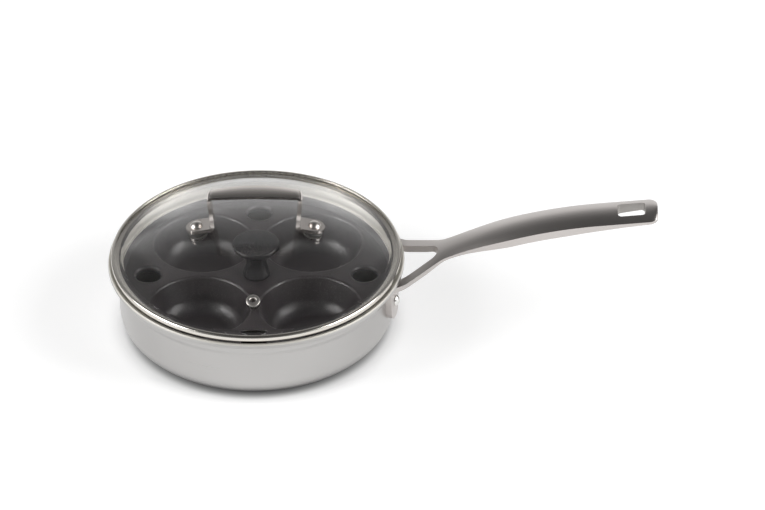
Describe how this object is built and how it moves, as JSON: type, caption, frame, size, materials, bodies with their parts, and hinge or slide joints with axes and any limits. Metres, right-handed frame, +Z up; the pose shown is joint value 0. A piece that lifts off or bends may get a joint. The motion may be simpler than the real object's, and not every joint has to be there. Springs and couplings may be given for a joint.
{
  "type": "egg poacher pan",
  "caption": "Low steel pan with a fork handle, a lift-out black tray of egg cups with a knob, and a domed glass lid with a strap handle and a steam vent.",
  "frame": {"origin": "centre of the pan's base, on the surface that it stands on", "axes": "+Z up, +X from the pan's centre along the long handle, +Y to the back as the picture shows it"},
  "size_m": [0.3805, 0.206, 0.1084],
  "materials": {
    "pan_steel": "satin, brushed round the wall",
    "pan_core": "bare, seen only at the lip's edge",
    "cast_handle": "satin, brushed along its length",
    "rivets": "polished",
    "non_stick": "satin non-stick coating with a fine grain",
    "phenolic": "semi-gloss moulded resin",
    "brass": "turned",
    "glass": "clear, tempered",
    "band_steel": "polished, rolled",
    "silicone": "matt",
    "lid_handle": "satin, brushed along the bar"
  },
  "bodies": {
    "pan": {"pan_outer_ply": "pan_steel", "pan_core_ply": "pan_core", "pan_inner_ply": "pan_steel", "long_handle": "cast_handle", "handle_rivet_front": "rivets", "handle_rivet_back": "rivets"},
    "tray": {"egg_cup_tray": "non_stick", "egg_cup_back_right": "non_stick", "egg_cup_back_left": "non_stick", "egg_cup_front_left": "non_stick", "egg_cup_front_right": "non_stick", "tray_knob": "phenolic", "knob_sleeve": "brass", "knob_screw": "rivets", "knob_washer": "rivets"},
    "lid": {"lid_glass": "glass", "lid_band": "band_steel", "lid_seal": "silicone", "vent_eyelet": "rivets", "vent_grommet": "silicone", "vent_washer": "rivets", "lid_handle": "lid_handle", "lid_rivet_left": "rivets", "lid_rivet_right": "rivets", "foot_gasket_left": "silicone", "foot_gasket_right": "silicone", "inner_gasket_left": "silicone", "inner_gasket_right": "silicone", "inner_washer_left": "rivets", "inner_washer_right": "rivets"}
  },
  "joints": [
    {"name": "tray_lift", "type": "slide", "parent": "pan", "child": "tray", "axis": [0, 0, 1], "range_m": [0, 0.08]},
    {"name": "lid_lift", "type": "slide", "parent": "tray", "child": "lid", "axis": [0, 0, 1], "range_m": [0, 0.1]}
  ]
}
